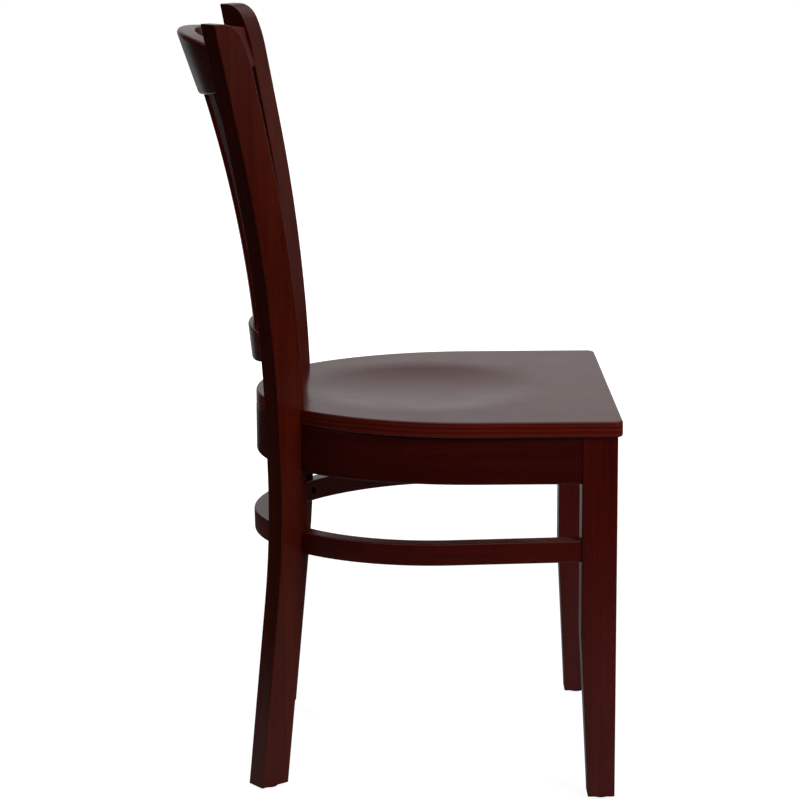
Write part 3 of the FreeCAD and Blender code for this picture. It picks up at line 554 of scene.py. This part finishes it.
def stained_wood(name, piece, turn=ALONG_Z, bend=None, **tones_and_shade):
    """Stained wood for one piece, its grain straight or round a bend."""
    material, tree, shader = new_material(name)
    grain_place = bent_place(tree, *bend) if bend else turned_place(tree, turn)
    stain(tree, shader, grain_place, piece, **tones_and_shade)
    return material


def stained_plywood(name):
    """Stained face veneer; the layers show on the edges."""
    material, tree, shader = new_material(name)
    face = stain(tree, shader, turned_place(tree, ALONG_Y), SEAT_CUT)
    sizes = {"Top": SEAT_TOP, "Layer": LAYER_THICKNESS}
    layers = use_group(tree, PLY_LAYERS, {"Place": piece_place(tree), **sizes})
    edge = blend(tree, layers["Light Layer"], PLY_MIDDLE, PLY_LIGHT)
    edge = blend(tree, layers["Glue Line"], edge, PLY_DARK)
    facing = parts_of(tree, add(tree, "NewGeometry").outputs["True Normal"])
    on_edge = spread(tree, maths(tree, "ABSOLUTE", facing["Z"]), *EDGE_RANGE)
    feed(tree, shader.inputs["Base Color"], blend(tree, on_edge, face, edge))
    return material


def bare_beech(name, piece, turn):
    """Unfinished beech for blocks and dowels."""
    material, tree, shader = new_material(name)
    grain = use_group(tree, WOOD_GRAIN, {"Grain Place": turned_place(tree, turn), "Piece": piece})
    colour = blend(tree, grain["Figure"], BEECH_DARK, BEECH_LIGHT)
    colour = blend(tree, maths(tree, "MULTIPLY", grain["Pores"], BEECH_PORES), colour, BEECH_PORE)
    feed(tree, shader.inputs["Base Color"], colour)
    feed(tree, shader.inputs["Roughness"], spread(tree, grain["Figure"], *BEECH_ROUGHNESS))
    raise_relief(tree, shader, grain["Height"], BEECH_RELIEF)
    return material


def plated_steel(name, dark, light):
    """Steel under a cloudy plated or blacked film."""
    material, tree, shader = new_material(name)
    cloud = noise(tree, piece_place(tree), **STEEL_CLOUD)
    colour = blend(tree, spread(tree, cloud, *STEEL_COLOUR_RANGE), dark, light)
    feed(tree, shader.inputs["Base Color"], colour)
    feed(tree, shader.inputs["Roughness"], spread(tree, cloud, *STEEL_ROUGHNESS))
    feed(tree, shader.inputs["Metallic"], 1.0)
    return material


def dark_nylon(name):
    """Moulded nylon with a fine matt grain and scuffs."""
    material, tree, shader = new_material(name)
    cloud = noise(tree, piece_place(tree), **NYLON_CLOUD)
    colour = blend(tree, spread(tree, cloud, *NYLON_COLOUR_RANGE), NYLON_DARK, NYLON_LIGHT)
    feed(tree, shader.inputs["Base Color"], colour)
    feed(tree, shader.inputs["Roughness"], spread(tree, cloud, *NYLON_ROUGHNESS))
    raise_relief(tree, shader, noise(tree, piece_place(tree), **PEBBLE), NYLON_RELIEF)
    return material


def dress(node, material):
    """Give a CAD node its material."""
    slots = cad_nodes[node].data.materials
    slots.clear()
    slots.append(material)


def dress_wood():
    """Stain the wood that is seen."""
    for number, (node, tones_and_shade) in enumerate(UPRIGHT_FINISHES_AND_SHADE.items(), start=1):
        dress(node, stained_wood("stain_and_shade_" + node, cut_for(UPRIGHT_CUT, number), **tones_and_shade))
    dress("front_rail", stained_wood("stain_and_shade_front_rail", FRONT_RAIL_CUT, turn=ALONG_X))
    for number, (node, tones_and_shade) in enumerate(BENT_FINISHES_AND_SHADE.items(), start=1):
        dress(node, stained_wood("stain_and_shade_" + node, cut_for(BENT_CUT, number), **tones_and_shade))
    dress("seat", stained_plywood("stain_and_shade_seat_ply"))


def dress_hidden_wood():
    """Leave the wood inside the frame and the joints bare."""
    for number, node in enumerate(BLOCKS):
        dress(node, bare_beech("beech_" + node, cut_for(BLOCK_CUT, number), ALONG_X))
    for number, (node, turn) in enumerate(BARE_DOWELS.items()):
        dress(node, bare_beech("beech_" + node, cut_for(DOWEL_CUT, number), turn))


# Places

def placed(spot, direction):
    """Place at a spot whose Z axis points in a direction."""
    turn = direction.to_track_quat("Z", "Y").to_matrix().to_4x4()
    return Matrix.Translation(spot) @ turn


def on_side(vector, side):
    """A vector of the chair's left, or its mirror image on the right."""
    return Vector(vector) * Vector((side, 1, 1))


def both_sides(spot, direction):
    """The same place on the chair's left and right."""
    return [placed(on_side(spot, side), on_side(direction, side)) for side in SIDES]


def post_line(side, along, height):
    """Place on a rear post's middle line whose Z axis runs back through the post."""
    spot = POST_BASE + POST_BACK * along + Vector((0, 0, height))
    return placed(on_side(spot, side), on_side(POST_BACK, side))


# Turned shapes

def ring(build, place, radius, height):
    """Circle of points about a place's Z axis; the radius may be a function of angle and height."""
    points = []
    for step in range(AROUND):
        angle = step / AROUND * math.tau
        reach = radius(angle, height) if callable(radius) else radius
        spot = Vector((reach * math.cos(angle), reach * math.sin(angle), height))
        points.append(build.verts.new(place @ spot))
    return points


def turned_rings(build, place, profile):
    """Rings from a run of (radius, height) corners."""
    return [ring(build, place, radius, height) for radius, height in profile]


def skin(build, rings):
    """Faces between rings that follow each other."""
    for lower, upper in zip(rings, rings[1:]):
        for step, point in enumerate(lower):
            after = (step + 1) % len(lower)
            build.faces.new((point, lower[after], upper[after], upper[step]))


def closed_skin(build, rings):
    """Faces between rings that follow each other, and over both ends."""
    skin(build, rings)
    build.faces.new(rings[0])
    build.faces.new(rings[-1])


def threaded_shank(build, place, radius, pitch, length, tip):
    """Shank with a V thread that fades in under the head and out at the tip."""
    depth = pitch * THREAD_DEPTH
    run_in = pitch * THREAD_RUN_IN
    count = int(length / pitch * RINGS_PER_PITCH)

    def thread(angle, height):
        wave = (height / pitch - angle / math.tau) % 1
        fade = max(0, min(1, height / run_in, (length - height) / tip))
        share = TIP_RADIUS + (1 - TIP_RADIUS) * fade
        return (radius - depth * (1 - abs(2 * wave - 1))) * share

    neck = ring(build, place, radius * NECK_RADIUS, -NECK_IN_HEAD)
    turns = [ring(build, place, thread, length * step / count) for step in range(count + 1)]
    closed_skin(build, [neck] + turns)


def cross_outline(reach, arm):
    """Corners of a cross recess."""
    quarter = [(reach, -arm), (reach, arm), (arm, arm)]
    corners = []
    for _ in range(4):
        corners += quarter
        quarter = [(-along, across) for across, along in quarter]
    return corners


def hexagon_outline(reach):
    """Corners of a hexagon socket."""
    angles = [step * math.tau / 6 for step in range(6)]
    return [(reach * math.cos(angle), reach * math.sin(angle)) for angle in angles]


def level_loop(build, place, outline, scale, height):
    """Points of a scaled outline, all at one height."""
    spots = [Vector((across * scale, along * scale, height)) for across, along in outline]
    return [build.verts.new(place @ spot) for spot in spots]


def loop_edges(build, loop):
    """Edges that join a closed loop of points."""
    return [build.edges.get((loop[step], loop[step - 1])) for step in range(len(loop))]


def recessed_head(build, place, radius, height, profile, outline, depth):
    """Turned head with a recess sunk into its top, which faces against the way it is driven."""
    corners = [(radius * across, -height * up) for across, up in profile]
    rings = turned_rings(build, place, corners)
    skin(build, rings)
    build.faces.new(rings[0])
    mouth = level_loop(build, place, outline, 1, -height)
    floor = level_loop(build, place, outline, RECESS_TAPER, height * depth - height)
    skin(build, [mouth, floor])
    build.faces.new(floor)
    rims = loop_edges(build, rings[-1]) + loop_edges(build, mouth)
    bmesh.ops.triangle_fill(build, use_beauty=True, edges=rims)


# Fasteners, glides and dowels

def wood_screw(build, place, length):
    """Pan-head screw with a cross recess; its place is under the head, Z the way it is driven."""
    cross = cross_outline(SCREW_HEAD * CROSS_REACH, SCREW_HEAD * CROSS_ARM)
    head = (SCREW_HEAD, SCREW_HEAD_HEIGHT, SCREW_HEAD_PROFILE)
    recessed_head(build, place, *head, cross, CROSS_DEPTH)
    threaded_shank(build, place, SCREW_SHANK, SCREW_PITCH, length, SCREW_SHANK * TIP_LENGTH)


def post_bolt(build, place):
    """Cap-head bolt with a hexagon socket."""
    head = (BOLT_HEAD, BOLT_HEAD_HEIGHT, BOLT_HEAD_PROFILE)
    recessed_head(build, place, *head, hexagon_outline(BOLT_SOCKET), SOCKET_DEPTH)
    threaded_shank(build, place, BOLT_SHANK, BOLT_PITCH, BOLT_LENGTH, BOLT_PITCH)


def washer(build, place):
    """Stamped washer with one rolled and one sharp edge."""
    thick = WASHER_THICKNESS
    roll = thick * WASHER_ROLL
    rolled_edge = [(WASHER_OUTSIDE - roll, 0), (WASHER_OUTSIDE, roll)]
    profile = [(WASHER_BORE, 0), *rolled_edge, (WASHER_OUTSIDE, thick), (WASHER_BORE, thick)]
    rings = turned_rings(build, place, profile)
    skin(build, rings + rings[:1])


def glide(build, place):
    """Nylon glide with a rolled rim, a ring groove and a sunk nail head; the nail points up."""
    closed_skin(build, turned_rings(build, place, GLIDE_PROFILE))


def planed_ring(build, place, along):
    """Circle of points on a dowel, planed level with the lower back rail's bowed underside."""
    middle = place @ Vector((0, 0, along))
    level = UNDERSIDE_CENTRE - math.sqrt(UNDERSIDE_RADIUS ** 2 - middle.x ** 2) - middle.z
    half_chord = math.sqrt(DOWEL_RADIUS ** 2 - max(level, 0) ** 2)
    points = []
    for step in range(AROUND):
        angle = step / AROUND * math.tau
        across = DOWEL_RADIUS * math.cos(angle)
        up = DOWEL_RADIUS * math.sin(angle)
        if up < level:
            across = max(-half_chord, min(half_chord, across))
            up = level
        points.append(build.verts.new(place @ Vector((across, up, along))))
    return points


def rail_dowel(build, place):
    """Dowel that starts in the rail, planed flush, and ends round in the post."""
    steps = [DOWEL_IN_RAIL * step / PLANED_STEPS for step in range(PLANED_STEPS + 1)]
    in_rail = [planed_ring(build, place, along) for along in steps]
    in_post = [ring(build, place, DOWEL_RADIUS, along) for along in (DOWEL_IN_RAIL, DOWEL_LENGTH)]
    closed_skin(build, in_rail + in_post)
    bmesh.ops.remove_doubles(build, verts=build.verts, dist=MERGE_DISTANCE)


def fitting(node, slot, material, shape, places, *sizes):
    """One piece that stands for a CAD node, with the same shape at each place."""
    build = bmesh.new()
    for place in places:
        shape(build, place, *sizes)
    bmesh.ops.recalc_face_normals(build, faces=build.faces)
    mesh = bpy.data.meshes.new("turned_" + node)
    build.to_mesh(mesh)
    build.free()
    mesh.materials.append(material)
    mesh.shade_smooth()
    mesh.set_sharp_from_angle(angle=SHARP_ANGLE)
    piece = bpy.data.objects.new("turned_" + node, mesh)
    bpy.context.collection.objects.link(piece)
    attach(piece, "root")
    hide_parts(node)


def fit_fasteners():
    """Bolts, washers and screws; the inserts keep their CAD shape."""
    zinc = plated_steel("zinc_steel_plate", ZINC_DARK, ZINC_LIGHT)
    blacked = plated_steel("blacked_steel", BLACKED_DARK, BLACKED_LIGHT)
    bolts = [post_line(side, BOLT_ALONG_POST, height) for side in SIDES for height in BOLT_HEIGHTS]
    fitting("post_bolts", "zinc_steel", zinc, post_bolt, bolts)
    fitting("bolt_washers", "zinc_steel", zinc, washer, bolts)
    dress("threaded_inserts", zinc)
    stretcher = [post_line(side, STRETCHER_SCREW_ALONG_POST, STRETCHER_SCREW_HEIGHT) for side in SIDES]
    fitting("stretcher_screws", "zinc_steel", blacked, wood_screw, stretcher, STRETCHER_SCREW_LENGTH)
    seat = [place for spot in SEAT_SCREW_SPOTS for place in both_sides(spot, UPWARD)]
    fitting("seat_screws", "zinc_steel", blacked, wood_screw, seat, SEAT_SCREW_LENGTH)
    block = both_sides(SIDE_SCREW_SPOT, OUTWARD) + both_sides(FRONT_SCREW_SPOT, FORWARD)
    fitting("block_screws", "zinc_steel", blacked, wood_screw, block, BLOCK_SCREW_LENGTH)


def fit_glides():
    """A glide under each foot."""
    nylon = dark_nylon("glide_nylon_black")
    for node, (across, along) in GLIDE_SPOTS.items():
        fitting(node, "glide_nylon", nylon, glide, [Matrix.Translation((across, along, 0))])


def fit_rail_dowels():
    """Dowels of the lower back rail, stained because they show under its ends."""
    stained = stained_wood("stain_and_shade_lower_rail_dowels", RAIL_DOWELS_CUT, turn=ALONG_X)
    places = [place for spot in DOWEL_SPOTS for place in both_sides(spot, DOWEL_WAY)]
    fitting("lower_rail_dowels", "stained_wood", stained, rail_dowel, places)


# Studio

def looks_through(tree):
    """1 for rays that show the background itself: from the camera, or through something clear."""
    rays = add(tree, "LightPath").outputs
    return maths(tree, "MAXIMUM", rays["Is Camera Ray"], rays["Is Transmission Ray"])


def floor_tint(tree, position, near):
    """The floor's own grey: one for the light that it scatters, another for reflections."""
    scattered = blend(tree, near, FLOOR_FAR, FLOOR_NEAR)
    mirrored = blend(tree, near, MIRRORED_FAR, MIRRORED_NEAR)
    spot = parts_of(tree, position)
    aside = maths(tree, "MULTIPLY", maths(tree, "ABSOLUTE", spot["Y"]), BEYOND_NARROWS)
    beyond = spread(tree, maths(tree, "SUBTRACT", spot["X"], aside), *BEYOND_RANGE)
    mirrored = blend(tree, beyond, mirrored, MIRRORED_BEYOND)
    return blend(tree, add(tree, "LightPath").outputs["Is Diffuse Ray"], mirrored, scattered)


def floor_white(name):
    """Pale matt floor that glows white for the camera, a little less near the chair."""
    material = bpy.data.materials.new(name)
    tree = cleared_tree(material)
    position = add(tree, "NewGeometry").outputs["Position"]
    near = spread(tree, length_of(tree, position), *NEAR_RANGE)
    pale = add(tree, "BsdfDiffuse", {"Color": floor_tint(tree, position, near)}).outputs[0]
    white = blend(tree, near, WHITE, FLOOR_GLOW_NEAR)
    glow = add(tree, "Emission", {"Color": white, "Strength": looks_through(tree)}).outputs[0]
    shown = add(tree, "AddShader", {0: pale, 1: glow}).outputs[0]
    add(tree, "OutputMaterial", {"Surface": shown})
    return material


def lay_floor():
    """Floor that fades into the white background and keeps the chair's shadow."""
    spot = (0, 0, FLOOR_LEVEL)
    bpy.ops.mesh.primitive_circle_add(
        vertices=FLOOR_SIDES, radius=FLOOR_RADIUS, fill_type="NGON", location=spot
    )
    floor = bpy.context.object
    floor.name = "studio_floor"
    floor.data.materials.append(floor_white("studio_floor_white"))


def light_room():
    """White behind the chair; as light, a dome that is brighter above and beyond the chair."""
    world = bpy.data.worlds.new("studio")
    bpy.context.scene.world = world
    tree = cleared_tree(world)
    way = parts_of(tree, add(tree, "TexCoord").outputs["Generated"])
    dimmed = spread(tree, maths(tree, "SUBTRACT", way["Y"], way["X"]), *DIMMED_RANGE)
    above = maths(tree, "MULTIPLY", spread(tree, way["Z"], *ABOVE_RANGE), dimmed)
    behind_chair = spread(tree, way["X"], *BEHIND_RANGE)
    ahead = spread(tree, way["Y"], *AHEAD_RANGE)
    level = total(tree, above, behind_chair, ahead, DOME_BASE)
    dome = add(tree, "Background", {"Color": WHITE, "Strength": level}).outputs[0]
    white = add(tree, "Background", {"Color": WHITE, "Strength": 1.0}).outputs[0]
    shown = add(tree, "MixShader", {0: looks_through(tree), 1: dome, 2: white}).outputs[0]
    add(tree, "OutputWorld", {"Surface": shown})


def hang_lamp(name, place, side, power):
    """Soft square lamp that leaves no image of itself in the lacquer."""
    lamp = bpy.data.lights.new(name, "AREA")
    lamp.shape = "SQUARE"
    lamp.size = side
    lamp.energy = power
    holder = bpy.data.objects.new(name, lamp)
    holder.location = place
    holder.rotation_euler = (LAMP_TARGET - Vector(place)).to_track_quat("-Z", "Y").to_euler()
    holder.visible_glossy = False
    bpy.context.collection.objects.link(holder)


def set_camera():
    """Camera with the pitch, yaw and roll found from the chair's edges."""
    flat = math.cos(CAMERA_PITCH)
    ahead = math.cos(CAMERA_YAW) * flat
    aside = math.sin(CAMERA_YAW) * flat
    forward = Vector((ahead, aside, -math.sin(CAMERA_PITCH)))
    level_right = forward.cross(Vector((0, 0, 1))).normalized()
    level_up = level_right.cross(forward)
    right = math.cos(CAMERA_ROLL) * level_right + math.sin(CAMERA_ROLL) * level_up
    up = math.cos(CAMERA_ROLL) * level_up - math.sin(CAMERA_ROLL) * level_right
    axes = Matrix((right, up, -forward)).transposed().to_4x4()
    lens = bpy.data.cameras.new("photo_camera")
    lens.sensor_width = SENSOR_WIDTH
    lens.lens = FOCAL_PIXELS / IMAGE_SIDE * SENSOR_WIDTH
    lens.shift_x = -HALF_PIXEL
    lens.shift_y = HALF_PIXEL
    camera = bpy.data.objects.new("photo_camera", lens)
    camera.matrix_world = Matrix.Translation(CAMERA_PLACE) @ axes
    bpy.context.collection.objects.link(camera)
    bpy.context.scene.camera = camera


dress_wood()
dress_hidden_wood()
fit_fasteners()
fit_glides()
fit_rail_dowels()
lay_floor()
light_room()
for lamp_name, lamp_settings in LAMPS.items():
    hang_lamp(lamp_name, **lamp_settings)
set_camera()
bpy.context.scene.view_settings.view_transform = "Standard"
